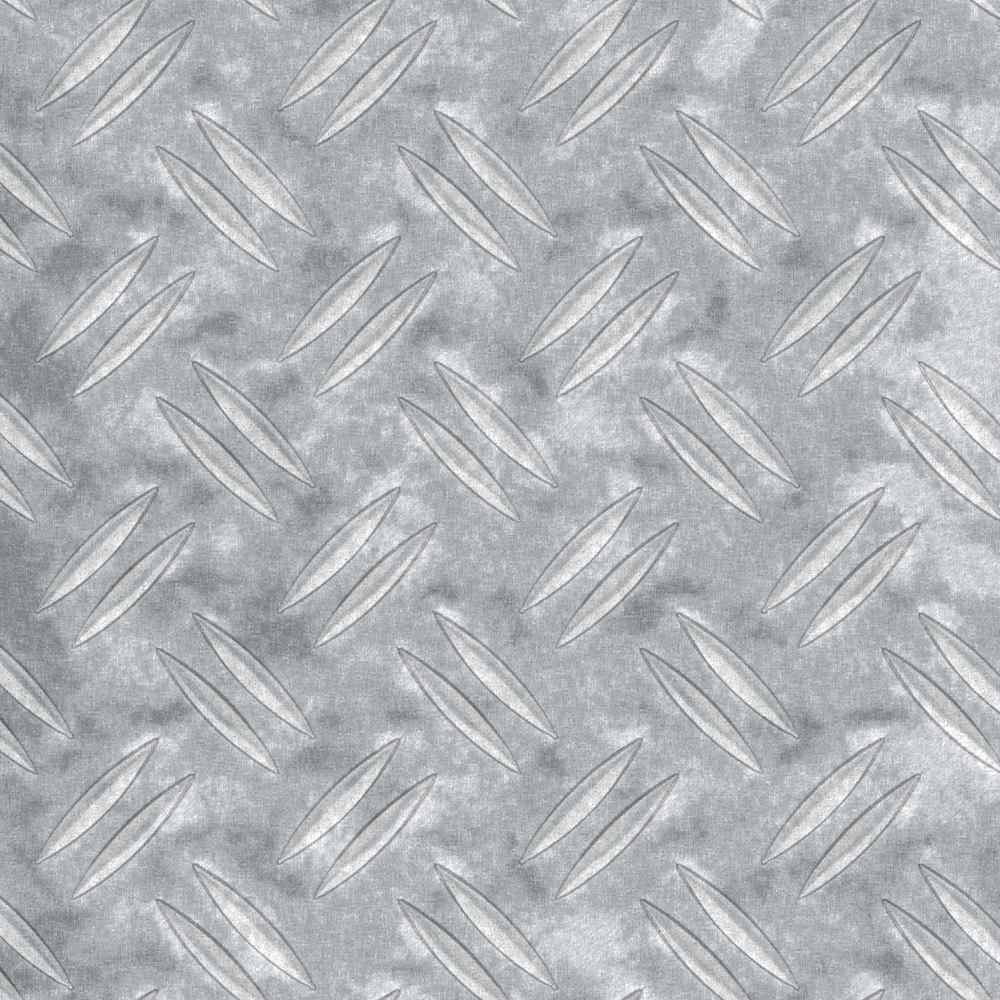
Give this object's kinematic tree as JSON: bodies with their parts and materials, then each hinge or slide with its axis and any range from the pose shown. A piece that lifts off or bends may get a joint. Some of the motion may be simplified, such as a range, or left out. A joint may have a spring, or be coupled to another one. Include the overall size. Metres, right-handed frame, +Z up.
{
  "type": "tread plate",
  "caption": "Flat aluminium tread plate panel with a raised pattern of pointed bars, set side by side and leaning left and right by turns.",
  "frame": {"origin": "middle of the flat underside", "axes": "+Z up through the thickness towards the raised bars, +Y along the rolling direction and the panel's longer side, +X across it"},
  "size_m": [0.2, 0.3, 0.004],
  "materials": {
    "aluminium": "rolled mill finish, dull silver, faintly brushed along the rolling direction"
  },
  "bodies": {
    "root": {"tread_plate": "aluminium"}
  },
  "joints": []
}
